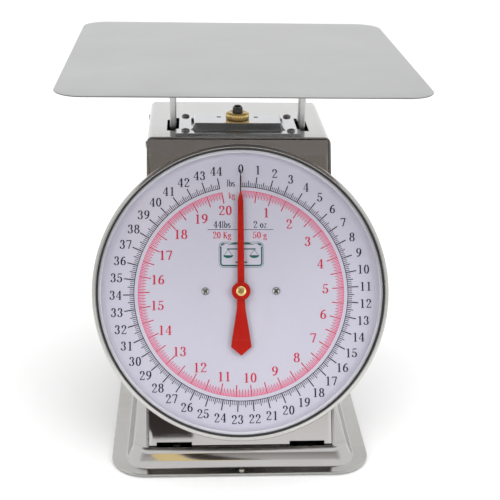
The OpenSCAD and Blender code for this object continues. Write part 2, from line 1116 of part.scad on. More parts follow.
module zero_stud() {
    color(rubber_black)
        translate([0, post_y, hanger_z - 2])
            difference() {
                rotate_extrude()
                    polygon([[0, 0], [stud_r, 0], [stud_r, stud_top_z - hanger_z],
                        [stud_r - 1.5, stud_top_z - hanger_z + 2], [0, stud_top_z - hanger_z + 2]]);
                translate([-3, -0.5, stud_top_z - hanger_z + 1])
                    cube([6, 1, 5]);
            }
}

module spring_hanger() {
    color(zinc)
        translate([0, post_y, hanger_z])
            difference() {
                linear_extrude(hanger_h - 1)
                    rounded_rect(2 * spring_x + 20, 14, 3);
                translate([0, 0, -1])
                    cylinder(r = stud_r, h = 20);
                both_sides()
                    translate([spring_x, 0, -1])
                        cylinder(r = 3.5, h = 20);
            }
}

// Two close-wound extension springs, drawn as tubes with a hook post at each end
module main_springs() {
    coil_r = 8;
    wire_r = 1.2;
    low = strap_bottom_z + strap_t + 10;
    high = hanger_z - 8;
    color(zinc)
        both_sides()
            translate([spring_x, post_y, 0]) {
                translate([0, 0, low])
                    tube(coil_r, coil_r - 2 * wire_r, high - low);
                for (z = [low, high - 2 * wire_r])
                    translate([-coil_r + 1, -wire_r, z])
                        cube([2 * coil_r - 2, 2 * wire_r, 2 * wire_r]);
                translate([0, 0, strap_bottom_z - 2])
                    cylinder(r = wire_r, h = low - strap_bottom_z + 3);
                translate([0, 0, high - 1])
                    cylinder(r = wire_r, h = hanger_z + hanger_h + 2 - high);
            }
}

// ---------- Assembly ----------

base_plate();
rubber_feet();
foot_screws();
base_front_screw();
housing_shell();
front_panel();
rear_panel();
side_screws();
rear_panel_screws();
housing_base_screws();
top_bridge();
bridge_screws();
inner_chassis();
chassis_screws();
lever_pivot_rods();
dial_drum();
dial_spacers();
dial_face();
dial_screws();
lens();
lens_gasket();
bezel_ring();
movement_front_plate();
movement_pillars();
movement_rear_plate();
movement_screws();
front_bush();
rear_bush();
weigh_tray();
tray_bracket();
tray_sockets();
support_posts();
carriage_frame();
post_screws();
carriage_pins();
rack_arm();
rack_arm_screws();
gear_rack();
rack_screws();
pointer();
pointer_arbor();
pinion();
pointer_screw();
upper_lever();
lower_lever();
zero_knob();
zero_stud();
spring_hanger();
main_springs();
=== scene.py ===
"""Looks for the mechanical dial platform scale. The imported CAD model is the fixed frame, in metres."""

import math
import random

import bmesh
import bpy
from mathutils import Matrix, Vector


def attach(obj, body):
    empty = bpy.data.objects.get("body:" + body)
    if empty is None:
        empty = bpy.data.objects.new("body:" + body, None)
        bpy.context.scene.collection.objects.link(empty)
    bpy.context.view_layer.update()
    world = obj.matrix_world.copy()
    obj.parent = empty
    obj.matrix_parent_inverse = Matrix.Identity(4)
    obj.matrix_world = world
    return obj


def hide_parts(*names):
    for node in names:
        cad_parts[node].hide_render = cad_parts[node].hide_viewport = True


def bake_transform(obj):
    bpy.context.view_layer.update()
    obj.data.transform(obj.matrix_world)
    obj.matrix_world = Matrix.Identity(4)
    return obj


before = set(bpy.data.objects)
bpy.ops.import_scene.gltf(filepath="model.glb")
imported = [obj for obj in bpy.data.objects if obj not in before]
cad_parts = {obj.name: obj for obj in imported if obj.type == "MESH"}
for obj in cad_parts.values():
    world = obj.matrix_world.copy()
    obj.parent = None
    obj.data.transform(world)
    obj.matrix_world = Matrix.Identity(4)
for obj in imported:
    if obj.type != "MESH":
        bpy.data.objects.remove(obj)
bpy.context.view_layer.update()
rng = random.Random(11)

MM = 0.001
HOUSING = "housing_assembly"
CARRIAGE = "carriage"
POINTER = "pointer_assembly"
KNOB = "zero_nut"
HANGER = "hanger"

# The dial's own axes: X right, Y up the slope, Z out of the panel, from the middle of the front panel's face
LEAN = math.radians(27.2319)
DIAL = Matrix.Translation((0, -69.926, 114.187)) @ Matrix.Rotation(math.pi / 2 - LEAN, 4, "X")
FACE_Z = 12.6
HUB_UP = 113.8  # up the front panel from its foot
DIAL_SCREW_X = 26

BRIDGE_Z, BRIDGE_RISE, SHEET = 219.5, 4.0, 1.45
PLATFORM_Y = 15  # middle of the tray, bridge and springs
STUD_TOP = 233.55


# ---------- Node helpers ----------


def node(tree, kind, sockets=None, **props):
    made = tree.nodes.new("ShaderNode" + kind)
    for key, value in props.items():
        setattr(made, key, value)
    for key, value in (sockets or {}).items():
        if isinstance(value, bpy.types.NodeSocket):
            tree.links.new(value, made.inputs[key])
        else:
            made.inputs[key].default_value = value
    return made


def rgba(colour):
    return (colour[0], colour[1], colour[2], 1.0)


def mixed(tree, factor, a, b, blend="MIX"):
    return node(tree, "Mix", {0: factor, 6: a, 7: b}, data_type="RGBA", blend_type=blend).outputs[2]


def ramped(tree, value, low, high, to_low, to_high):
    return node(tree, "MapRange", {"Value": value, "From Min": low, "From Max": high,
                                   "To Min": to_low, "To Max": to_high}).outputs[0]


def look(name, base, tint, metallic=0.0, rough=0.4, vary=0.08, grain=(500, 500, 500), bump=0.1,
         patch=25.0, patchy=0.5, waves=0.0, wave_scale=7.0, scratches=0.0, coat=0.0, turned=0.0, gloss=0.5):
    """A finish: fine grain in colour, roughness and bump, broad patches, and optional dents and scratches."""
    material = bpy.data.materials.new(name)
    material.use_nodes = True
    tree = material.node_tree
    shader = tree.nodes["Principled BSDF"]
    place = node(tree, "TexCoord").outputs["Object"]
    axes = node(tree, "Mapping", {"Vector": place, "Rotation": (turned, 0, 0)}).outputs[0]
    stretched = node(tree, "Mapping", {"Vector": axes, "Scale": grain}).outputs[0]
    fine = node(tree, "TexNoise", {"Vector": stretched, "Scale": 1.0, "Detail": 4.0,
                                   "Roughness": 0.6}).outputs[0]
    broad = node(tree, "TexNoise", {"Vector": place, "Scale": patch, "Detail": 3.0}).outputs[0]
    both = node(tree, "Math", {0: ramped(tree, fine, 0.3, 0.7, 0.0, 1.0 - patchy),
                               1: ramped(tree, broad, 0.3, 0.7, 0.0, patchy)}, operation="ADD").outputs[0]
    tree.links.new(mixed(tree, both, rgba(base), rgba(tint)), shader.inputs["Base Color"])
    roughness = ramped(tree, both, 0.0, 1.0, rough - vary / 2, rough + vary / 2)
    if scratches:
        lines = node(tree, "Mapping", {"Vector": axes, "Scale": (9, 900, 900),
                                       "Rotation": (0, 0, 0.12)}).outputs[0]
        cut = node(tree, "TexNoise", {"Vector": lines, "Scale": 1.0, "Detail": 2.0}).outputs[0]
        marks = ramped(tree, cut, 0.66, 0.72, 0.0, 1.0)
        roughness = node(tree, "Math", {0: marks, 1: scratches, 2: roughness},
                         operation="MULTIPLY_ADD").outputs[0]
    tree.links.new(roughness, shader.inputs["Roughness"])
    shader.inputs["Metallic"].default_value = metallic
    shader.inputs["Specular IOR Level"].default_value = gloss
    shader.inputs["Coat Weight"].default_value = coat
    shader.inputs["Coat Roughness"].default_value = 0.08
    normal = node(tree, "Bump", {"Height": fine, "Strength": bump, "Distance": 0.00005}).outputs[0]
    if waves:
        swell = node(tree, "TexNoise", {"Vector": place, "Scale": wave_scale, "Detail": 1.0}).outputs[0]
        normal = node(tree, "Bump", {"Height": swell, "Strength": 1.0, "Distance": waves,
                                     "Normal": normal}).outputs[0]
    tree.links.new(normal, shader.inputs["Normal"])
    return material


M = {
    "tray": look("brushed_tray_steel", (0.44, 0.445, 0.45), (0.58, 0.585, 0.59), 1.0, 0.36, 0.14,
                 (20, 900, 900), 0.25, 11.0, 0.72, waves=0.0008, wave_scale=5.0),
    # Darker copy of the tray steel for the tray's underside: painted shade.
    "under": look("tray_underside_painted_shade", (0.17, 0.155, 0.147), (0.22, 0.203, 0.192), 1.0, 0.5, 0.1,
                  (30, 1200, 1200), 0.3, 12.0, 0.6),
    # Darker copy of the step steel, also used on the rear panel: real satin finish with a painted dark
    # reflection.
    "base": look("satin_steel_painted_darker", (0.43, 0.425, 0.41), (0.55, 0.545, 0.53), 1.0, 0.12, 0.06,
                 (30, 900, 900), 0.03, 14.0, 0.6, waves=0.001, wave_scale=9.0, scratches=0.06),
    "step": look("polished_step_steel", (0.5, 0.49, 0.48), (0.56, 0.55, 0.54), 1.0, 0.06, 0.03,
                 (30, 500, 500), 0.0, 14.0, 0.7, waves=0.0005, wave_scale=9.0, scratches=0.03),
    "shell": look("polished_shell_steel", (0.55, 0.55, 0.55), (0.63, 0.63, 0.625), 1.0, 0.16, 0.08,
                  (30, 900, 900), 0.15, 18.0, 0.5, waves=0.0008, wave_scale=8.0, scratches=0.1),
    "bridge": look("polished_bridge_steel", (0.56, 0.57, 0.585), (0.62, 0.63, 0.645), 1.0, 0.12, 0.06,
                   (30, 900, 900), 0.08, 25.0, 0.6, waves=0.0004, wave_scale=16.0, scratches=0.08),
    "mirror": look("mirror_panel_steel", (0.58, 0.565, 0.55), (0.63, 0.615, 0.6), 1.0, 0.035, 0.02,
                   (600, 600, 600), 0.015, 12.0, 0.7, waves=0.0006, wave_scale=6.0, scratches=0.03),
    "bezel": look("bezel_steel", (0.5, 0.49, 0.475), (0.58, 0.57, 0.555), 1.0, 0.2, 0.06,
                  (300, 300, 300), 0.015, 40.0, 0.6),
    "rim": look("white_rim_plastic", (0.55, 0.55, 0.585), (0.6, 0.6, 0.635), 0.0, 0.35, 0.1,
                (1200, 1200, 1200), 0.08, 12.0, 0.7, gloss=0.3),
    # Steel made very dark: painted shade on the drum round the bezel.
    "drum": look("drum_steel", (0.12, 0.115, 0.11), (0.2, 0.19, 0.18), 1.0, 0.24, 0.1,
                 (500, 60, 500), 0.15, 25.0, 0.5, scratches=0.1),
    "zinc": look("zinc_plate", (0.42, 0.43, 0.44), (0.6, 0.6, 0.58), 1.0, 0.36, 0.16,
                 (420, 420, 420), 0.5, 55.0, 0.45),
    "screw": look("screw_steel", (0.42, 0.41, 0.38), (0.6, 0.59, 0.56), 1.0, 0.22, 0.12,
                  (900, 900, 900), 0.25, 150.0, 0.4),
    # Lighter copy of the screw steel for the screw on the base flange: painted highlight.
    "bright": look("screw_steel_painted_highlight", (0.56, 0.54, 0.48), (0.74, 0.72, 0.66), 1.0, 0.3, 0.12,
                   (900, 900, 900), 0.15, 150.0, 0.4),
    # Darker copy of the screw steel for the bridge and dial screws: painted shade.
    "painted_shade_screw": look("screw_steel_painted_shade", (0.2, 0.2, 0.198), (0.42, 0.42, 0.41), 1.0, 0.24, 0.12,
                 (900, 900, 900), 0.2, 150.0, 0.4),
    "brass": look("machined_brass", (0.72, 0.5, 0.19), (0.84, 0.64, 0.3), 1.0, 0.28, 0.12,
                  (800, 800, 800), 0.3, 120.0, 0.45),
    # Brass made lighter than the other brass parts: painted light on the knob.
    "knob": look("knob_brass_painted_light", (0.72, 0.49, 0.16), (0.98, 0.78, 0.4), 1.0, 0.32, 0.16,
                 (700, 700, 300), 0.4, 160.0, 0.55),
    "black": look("black_oxide_steel", (0.012, 0.012, 0.013), (0.035, 0.034, 0.034), 0.6, 0.3, 0.12,
                  (900, 900, 900), 0.3, 90.0, 0.5, coat=0.3),
    "rubber": look("black_rubber", (0.014, 0.014, 0.014), (0.035, 0.035, 0.034), 0.0, 0.62, 0.16,
                   (1200, 1200, 1200), 0.6, 60.0, 0.4),
    "spring": look("spring_steel", (0.3, 0.31, 0.32), (0.5, 0.5, 0.49), 1.0, 0.3, 0.12,
                   (900, 900, 900), 0.2, 80.0, 0.5),
    "red": look("pointer_red_plastic", (0.33, 0.008, 0.004), (0.39, 0.013, 0.008), 0.0, 0.36, 0.1,
                (900, 900, 900), 0.12, 60.0, 0.6, gloss=0.08),
    "tip": look("pointer_tip_dark", (0.03, 0.012, 0.014), (0.09, 0.02, 0.02), 0.0, 0.35, 0.1,
                (900, 900, 900), 0.1, 90.0, 0.5, gloss=0.15),
    # Off-white enamel; its pale lilac tint is partly the card's own colour and partly a painted reflection of
    # the lens.
    "face": look("dial_card_enamel_with_painted_lens_tint", (0.47, 0.455, 0.525), (0.5, 0.483, 0.555), 0.0, 0.5, 0.1,
                 (1500, 1500, 1500), 0.08, 9.0, 0.75, gloss=0.15),
    "ink": look("print_ink_dark", (0.006, 0.009, 0.018), (0.018, 0.022, 0.036), 0.0, 0.5, 0.1,
                (2200, 2200, 2200), 0.05, 300.0, 0.4, gloss=0.1),
    "red_ink": look("print_ink_red", (0.44, 0.016, 0.04), (0.5, 0.04, 0.07), 0.0, 0.5, 0.1,
                    (2200, 2200, 2200), 0.05, 300.0, 0.4, gloss=0.1),
    "rose_ink": look("print_ink_rose", (0.5, 0.04, 0.1), (0.58, 0.07, 0.14), 0.0, 0.5, 0.1,
                     (2200, 2200, 2200), 0.05, 300.0, 0.4, gloss=0.1),
    "pink_ink": look("print_ink_pink", (0.61, 0.32, 0.43), (0.65, 0.37, 0.48), 0.0, 0.5, 0.1,
                     (2200, 2200, 2200), 0.05, 120.0, 0.4, gloss=0.1),
    "badge_ink": look("print_ink_slate_green", (0.01, 0.07, 0.055), (0.02, 0.11, 0.085), 0.0, 0.45, 0.1,
                      (2200, 2200, 2200), 0.05, 150.0, 0.4, gloss=0.1),
}


def clear_material():
    """Clear moulded plastic: it refracts, lets shadow rays through, and has faint moulding swirls."""
    material = look("clear_lens_plastic", (0.97, 0.98, 0.99), (0.985, 0.985, 0.99), 0.0, 0.02, 0.02,
                    (300, 300, 300), 0.005, 15.0, 0.6, waves=0.0001, wave_scale=14.0, gloss=0.09)
    tree = material.node_tree
    shader = tree.nodes["Principled BSDF"]
    shader.inputs["Transmission Weight"].default_value = 1.0
    shader.inputs["IOR"].default_value = 1.2
    shadow = node(tree, "LightPath").outputs["Is Shadow Ray"]
    through = node(tree, "BsdfTransparent", {"Color": (0.95, 0.95, 0.96, 1.0)}).outputs[0]
    chosen = node(tree, "MixShader", {0: shadow, 1: shader.outputs[0], 2: through}).outputs[0]
    tree.links.new(chosen, tree.nodes["Material Output"].inputs["Surface"])
    return material


M["clear"] = clear_material()


# ---------- Mesh helpers (millimetres) ----------


def merged(parts):
    """Joins (vertices, faces) lists into one."""
    verts, faces = [], []
    for v, f in parts:
        start = len(verts)
        verts += v
        faces += [tuple(i + start for i in face) for face in f]
    return verts, faces


def piece(name, shape, body, material, place=None, sharp=38, nodes=(), parent=True, second=None):
    """Builds a mesh object from millimetre (vertices, faces), and hangs it on its body.

    second is (material, test): faces whose middle and normal pass the test get that material instead.
    """
    place = place or Matrix.Identity(4)
    data = bpy.data.meshes.new(name)
    data.from_pydata([(place @ Vector(v)) * MM for v in shape[0]], [], shape[1])
    built = bmesh.new()
    built.from_mesh(data)
    bmesh.ops.remove_doubles(built, verts=built.verts, dist=1e-6)
    bmesh.ops.dissolve_degenerate(built, edges=built.edges, dist=1e-7)
    bmesh.ops.recalc_face_normals(built, faces=built.faces)
    built.to_mesh(data)
    built.free()
    data.shade_smooth()
    data.set_sharp_from_angle(angle=math.radians(sharp))
    data.materials.append(M[material])
    if second:
        data.materials.append(M[second[0]])
        for face in data.polygons:
            face.material_index = int(second[1](face.center / MM, face.normal))
    made = bpy.data.objects.new(name, data)
    bpy.context.scene.collection.objects.link(made)
    if parent:
        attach(made, body)
    if nodes:
        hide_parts(*nodes)
    return made


def bridged(loops, closed_path=False, closed_loop=True, capped=True):
    """Skins a list of point loops that all have the same count."""
    count = len(loops[0])
    verts = [p for loop in loops for p in loop]
    faces = []
    rows = len(loops) if closed_path else len(loops) - 1
    for i in range(rows):
        a, b = i * count, ((i + 1) % len(loops)) * count
        for j in range(count if closed_loop else count - 1):
            k = (j + 1) % count
            faces.append((a + j, a + k, b + k, b + j))
    if capped and not closed_path:
        faces.append(tuple(range(count)))
        faces.append(tuple(range((len(loops) - 1) * count, len(loops) * count)))
    return verts, faces


def revolved(profile, steps, start=0.0, sweep=360.0):
    """Turns a closed (radius, height) outline about Z."""
    whole = sweep >= 360.0
    turns = [math.radians(start + sweep * i / steps) for i in range(steps if whole else steps + 1)]
    loops = [[(r * math.cos(a), r * math.sin(a), z) for r, z in profile] for a in turns]
    return bridged(loops, closed_path=whole, capped=not whole)


def rect_loop(w, l, r, z, middle=(0, 0), n=10):
    points = []
    for k, (sx, sy) in enumerate(((1, 1), (-1, 1), (-1, -1), (1, -1))):
        for i in range(n + 1):
            a = math.pi / 2 * (k + i / n)
            points.append((middle[0] + sx * (w / 2 - r) + r * math.cos(a),
                           middle[1] + sy * (l / 2 - r) + r * math.sin(a), z))
    return points


def bevelled(outline, z0, z1, edge):
    """A flat plate from an outline, with rounded rims above and below."""
    built = bmesh.new()
    low = [built.verts.new((x, y, z0)) for x, y in outline]
    high = [built.verts.new((x, y, z1)) for x, y in outline]
    built.faces.new(low)
    built.faces.new(high)
    for i in range(len(outline)):
        j = (i + 1) % len(outline)
        built.faces.new((low[i], low[j], high[j], high[i]))
    bmesh.ops.recalc_face_normals(built, faces=built.faces)
    rims = [e for e in built.edges if abs(e.verts[0].co.z - e.verts[1].co.z) < 1e-6]
    bmesh.ops.bevel(built, geom=rims, offset=edge, segments=3, profile=0.5, affect="EDGES")
    built.verts.index_update()
    verts = [tuple(v.co) for v in built.verts]
    faces = [tuple(v.index for v in f.verts) for f in built.faces]
    built.free()
    return verts, faces


def block(x0, x1, y0, y1, z0, z1, t=0.0):
    """A box whose lower face is smaller by t on each side."""
    verts = [(x0 + t, y0 + t, z0), (x1 - t, y0 + t, z0), (x1 - t, y1 - t, z0), (x0 + t, y1 - t, z0),
             (x0, y0, z1), (x1, y0, z1), (x1, y1, z1), (x0, y1, z1)]
    return verts, [(3, 2, 1, 0), (4, 5, 6, 7), (0, 1, 5, 4), (1, 2, 6, 5), (2, 3, 7, 6), (3, 0, 4, 7)]


def cut(shape, cutters):
    """Subtracts closed shapes from a closed shape."""
    def temporary(s):
        data = bpy.data.meshes.new("cut")
        data.from_pydata([Vector(v) for v in s[0]], [], s[1])
        built = bmesh.new()
        built.from_mesh(data)
        bmesh.ops.remove_doubles(built, verts=built.verts, dist=1e-5)
        bmesh.ops.recalc_face_normals(built, faces=built.faces)
        built.to_mesh(data)
        built.free()
        made = bpy.data.objects.new("cut", data)
        bpy.context.scene.collection.objects.link(made)
        return made

    target = temporary(shape)
    tools = [temporary(c) for c in cutters]
    for tool in tools:
        change = target.modifiers.new("cut", "BOOLEAN")
        change.operation = "DIFFERENCE"
        change.solver = "EXACT"
        change.object = tool
    done = bpy.data.meshes.new_from_object(target.evaluated_get(bpy.context.evaluated_depsgraph_get()))
    result = ([tuple(v.co) for v in done.vertices], [tuple(p.vertices) for p in done.polygons])
    for made in [target, *tools]:
        bpy.data.objects.remove(made)
    bpy.data.meshes.remove(done)
    return result


def moved(shape, matrix):
    return [tuple(matrix @ Vector(v)) for v in shape[0]], shape[1]


def tube_along(points, radius, sides=8):
    """A round wire along a path, with closed ends."""
    loops = []
    side = Vector((0, 0, 1))
    for i, p in enumerate(points):
        ahead = (Vector(points[min(i + 1, len(points) - 1)]) - Vector(points[max(i - 1, 0)])).normalized()
        side = side - ahead * side.dot(ahead)
        if side.length < 1e-6:
            side = ahead.orthogonal()
        side.normalize()
        other = ahead.cross(side)
        loops.append([tuple(Vector(p) + radius * (math.cos(a) * side + math.sin(a) * other))
                      for a in (2 * math.pi * k / sides for k in range(sides))])
    return bridged(loops)


# ---------- Base and tray ----------


def base_shape():
    """Pressed pan: flat flange, rounded step up to the deck, and the same form underneath."""
    top = [(24, 13.0), (18.6, 13.0), (17.4, 12.85), (16.4, 12.35), (15.7, 11.5), (15.1, 10.3), (13.2, 6.8),
           (11.7, 4.1), (11.0, 3.3), (10.2, 2.85), (9.2, 2.7), (1.0, 2.7), (0.4, 2.66), (0.1, 2.45)]
    under = [(0.0, 2.1), (0.1, 1.72), (0.4, 1.52), (1.0, 1.5), (9.6, 1.5), (10.9, 1.7), (11.9, 2.5),
             (12.9, 4.2), (14.9, 7.9), (16.4, 10.6), (17.2, 11.4), (18.4, 11.8), (24, 11.8)]
    loops = []
    for inset, z in top + under:
        r = 26 - inset if inset < 8 else max(9.0, 18.0 - (inset - 8) * 0.75)
        loops.append(rect_loop(190 - 2 * inset, 245 - 2 * end_inset(inset), r, z, (0, -19.5), 14))
    return bridged(loops)


def end_inset(inset):
    """The flange is narrower at the front and back than at the sides, and the step there is longer."""
    marks = [(0, 0), (1, 1), (9.2, 7.1), (11, 8.5), (17.4, 18.4), (18.6, 19.4), (24, 24)]
    for (a, b), (c, d) in zip(marks, marks[1:]):
        if inset <= c:
            return b + (d - b) * (inset - a) / (c - a)
    return inset


# Step and deck get the lighter polished steel; the flange keeps the darker steel, a painted dark reflection.
def on_step(middle, normal):
    return middle.z > 3.0 and normal.z > -0.2


piece("base_pressing", base_shape(), HOUSING, "base", nodes=["base_plate"], sharp=60,
      second=("step", on_step))


def tray_shape():
    rows = [(14, 274.0), (0.9, 274.0), (0.35, 273.9), (0.05, 273.6), (0.0, 273.4), (0.05, 273.15),
            (0.3, 272.88), (0.8, 272.8), (14, 272.8)]
    return bridged([rect_loop(254 - 2 * i, 254 - 2 * i, 20 - min(i, 12), z, (0, 15), 16) for i, z in rows])


# Faces turned down get the darker steel: painted shade under the tray.
def under_tray(middle, normal):
    return normal.z < 0.35


piece("tray_sheet", tray_shape(), CARRIAGE, "tray", nodes=["weigh_tray"], sharp=60,
      second=("under", under_tray))


# ---------- Front panel ----------


def panel_shape():
    """Flat sheet with a narrow chamfered rim down each side, two slits at its foot and the dial's holes."""
    side, rim, t = 67.6, 2.4, 1.0
    section = [(-side, -t), (-side, -0.62), (-side + 0.25, -0.42), (-side + rim, -0.02),
               (-side + rim + 0.3, 0), (side - rim - 0.3, 0), (side - rim, -0.02), (side - 0.25, -0.42),
               (side, -0.62), (side, -t)]
    sheet = bridged([[(x, y, z) for x, z in section] for y in (1.2, 228.6)])
    tools = [block(36 * s if s > 0 else -62, 62 if s > 0 else -36, 0, 3.5, -3, 3) for s in (-1, 1)]
    for x, r, steps in ((0, 8, 48), (-DIAL_SCREW_X, 1.5, 24), (DIAL_SCREW_X, 1.5, 24)):
        hole = revolved([(0, -3), (r, -3), (r, 3), (0, 3)], steps)
        tools.append(moved(hole, Matrix.Translation((x, HUB_UP, 0))))
    return cut(sheet, tools)


FRONT = Matrix.Translation((0, -122, 13)) @ Matrix.Rotation(math.pi / 2 - LEAN, 4, "X")
piece("panel_sheet", panel_shape(), HOUSING, "mirror", FRONT,
      nodes=["front_panel"], sharp=20)


# ---------- Screws ----------


def pan_head(r, h, shank_r, shank_l, slot_w=0.75, arms=0.62, depth=0.6):
    """Domed pan head with a tapered cross recess, head above z = 0."""
    dome = [(r * math.sin(a), h * 0.42 + h * 0.58 * math.cos(a)) for a in
            (math.pi / 2 * k / 7 for k in range(8))]
    outline = dome + [(r, h * 0.14), (r * 0.95, 0.0), (shank_r, 0.0), (shank_r, -shank_l), (0, -shank_l)]
    solid = revolved(outline, 40)
    w, reach = slot_w / 2, r * arms
    bottom = h * (1 - depth)
    return cut(solid, [block(-reach, reach, -w, w, bottom, h + 1, 0.12),
                       block(-w, w, -reach, reach, bottom, h + 1, 0.12)])


def screws(name, node_name, kind, places, body, material):
    parts = [moved(kind, m @ Matrix.Rotation(rng.uniform(0, math.pi), 4, "Z")) for m in places]
    return piece(name, merged(parts), body, material, nodes=[node_name], sharp=32)


def at(x, y, z, turn=None):
    m = Matrix.Translation((x, y, z))
    return m @ turn if turn else m


OUT_RIGHT = Matrix.Rotation(math.pi / 2, 4, "Y")
OUT_LEFT = Matrix.Rotation(-math.pi / 2, 4, "Y")
OUT_BACK = Matrix.Rotation(-math.pi / 2, 4, "X")
screws("bridge_fixings", "bridge_screws", pan_head(3.15, 1.8, 1.5, 4),
       [at(x, y, BRIDGE_Z) for x in (-40.4, 40.4) for y in (-5, 35)], HOUSING, "painted_shade_screw")
screws("side_fixings", "side_screws", pan_head(3.0, 2.0, 1.5, 5),
       [at(69.5 * s, y, 207, OUT_RIGHT if s > 0 else OUT_LEFT) for s in (-1, 1) for y in (-0.5, 75)],
       HOUSING, "screw")
screws("rear_fixings", "rear_panel_screws", pan_head(3.0, 1.8, 1.5, 4),
       [at(x, 85, z, OUT_BACK) for x in (-59.5, 59.5) for z in (27, 204)], HOUSING, "screw")
# The flange screw gets the lighter steel: a painted highlight.
screws("base_front_fixing", "base_front_screw", pan_head(1.9, 1.3, 1.0, 2, 0.5),
       [at(0, -137.75, 2.7)], HOUSING, "bright")
screws("dial_fixings", "dial_screws", pan_head(2.9, 1.8, 1.5, 15.6, 1.05, 0.7, 0.8),
       [DIAL @ at(x, 0, FACE_Z) for x in (-DIAL_SCREW_X, DIAL_SCREW_X)],
       HOUSING, "painted_shade_screw")
screws("pointer_fixing", "pointer_screw", pan_head(3.65, 1.1, 1.2, 0.0, 0.85, 0.55),
       [DIAL @ at(0, 0, 18.0)], POINTER, "brass")


# ---------- Dial card, lens, gasket and bezel ----------

card = [(3, FACE_Z), (60, FACE_Z), (97.6, FACE_Z)]
card += [(97.6 + 3.8 * math.sin(a), 19.0 - 6.4 * math.cos(a))
         for a in (math.pi / 2 * k / 8 for k in range(1, 9))]
card += [(101.4, 19.1), (101.5, 19.0), (103.9, 18.6), (104.1, 18.5), (104.1, 11.8), (3, 11.8)]
piece("dial_card", revolved(card, 180), HOUSING, "face", DIAL, nodes=["dial_face"])

white = [(101.45, 19.05), (101.5, 19.25), (101.8, 19.38), (103.6, 19.38), (104.0, 19.25), (104.1, 19.0),
         (104.1, 18.62), (103.9, 18.65)]
piece("dial_rim", revolved(white, 180), HOUSING, "rim", DIAL)

LENS_TOP, LENS_LOW = 21.4, 19.45
clear = [(r, LENS_TOP) for r in (0, 34.6, 35.2)] + [(35.75, 21.05)]
clear += [(r, LENS_TOP) for r in (36.3, 36.9, 60, 90, 104.0, 104.6)]
clear += [(105.2, 21.3), (105.4, 21.1), (105.4, 19.6), (105.2, LENS_LOW)]
clear += [(r, LENS_LOW) for r in (104.6, 90, 45, 0)]
piece("lens_disc", revolved(clear, 180), HOUSING, "clear", DIAL, nodes=["lens"], sharp=25)

seal = [(103.4, 21.45), (103.42, 22.0), (103.6, 22.25), (103.9, 22.38), (105.3, 22.38), (105.3, 21.45)]
piece("gasket_strip", revolved(seal, 180, 2.7, 359.2), HOUSING, "rubber", DIAL,
      nodes=["lens_gasket"])

rim = [(106.6, 11.4), (107.5, 11.4), (107.8, 11.7), (107.8, 21.9), (107.7, 22.4), (107.45, 22.85),
       (107.05, 23.2), (106.5, 23.48), (105.9, 23.72), (105.4, 23.9), (105.1, 23.98), (104.9, 23.9),
       (104.8, 23.7), (104.8, 22.7), (104.85, 22.42), (106.4, 22.42), (106.6, 22.2)]
piece("bezel_hoop", revolved(rim, 180), HOUSING, "bezel", DIAL, nodes=["bezel_ring"], sharp=50)


# ---------- Dial print ----------

INK_LOW, INK_HIGH = FACE_Z - 0.01, FACE_Z + 0.05


def strip(left, right, closed=False):
    """A thin printed band between two lines of points."""
    loops = [[(a[0], a[1], INK_HIGH), (b[0], b[1], INK_HIGH), (b[0], b[1], INK_LOW), (a[0], a[1], INK_LOW)]
             for a, b in zip(left, right)]
    return bridged(loops, closed_path=closed)


def turned(r, degrees):
    a = math.radians(90 - degrees)
    return r * math.cos(a), r * math.sin(a)


def ring_print(r0, r1, start, end, steps=240):
    turns = [start + (end - start) * i / steps for i in range(steps + (end - start < 360))]
    return strip([turned(r0, a) for a in turns], [turned(r1, a) for a in turns], end - start >= 360)


def tick(r0, r1, degrees, width):
    x, y = turned(1, degrees)
    side = (y * width / 2, -x * width / 2)
    return strip([(x * r + side[0], y * r + side[1]) for r in (r0, r1)],
                 [(x * r - side[0], y * r - side[1]) for r in (r0, r1)])


THICK, THIN = 0.15, 0.065
PRINT = DIAL @ Matrix.Translation((0.5, -1.3, 0)) @ Matrix.Diagonal((1.008, 1.008, 1, 1))


def pen(path, width=None, closed=False):
    """A written stroke: wide where it runs up and down, fine where it runs across."""
    left, right = [], []
    n = len(path)
    for i, (x, y) in enumerate(path):
        a = path[(i - 1) % n] if closed or i else path[i]
        b = path[(i + 1) % n] if closed or i < n - 1 else path[i]
        dx, dy = b[0] - a[0], b[1] - a[1]
        size = math.hypot(dx, dy) or 1.0
        w = width if width else THIN + (THICK - THIN) * (abs(dy) / size) ** 1.6
        left.append((x - dy / size * w / 2, y + dx / size * w / 2))
        right.append((x + dy / size * w / 2, y - dx / size * w / 2))
    return left, right, closed


def bow(cx, cy, rx, ry, a0, a1):
    steps = max(6, int(abs(a1 - a0) / 18))
    closed = abs(a1 - a0) >= 360
    angles = [math.radians(a0 + (a1 - a0) * i / steps) for i in range(steps + (not closed))]
    return pen([(cx + rx * math.cos(a), cy + ry * math.sin(a)) for a in angles], closed=closed)


def bar(x0, y0, x1, y1, w):
    return pen([(x0, y0), (x1, y1)], w)


def blob(x, y, r):
    return pen([(x - r * 0.8, y), (x, y), (x + r * 0.8, y)], r * 1.7)


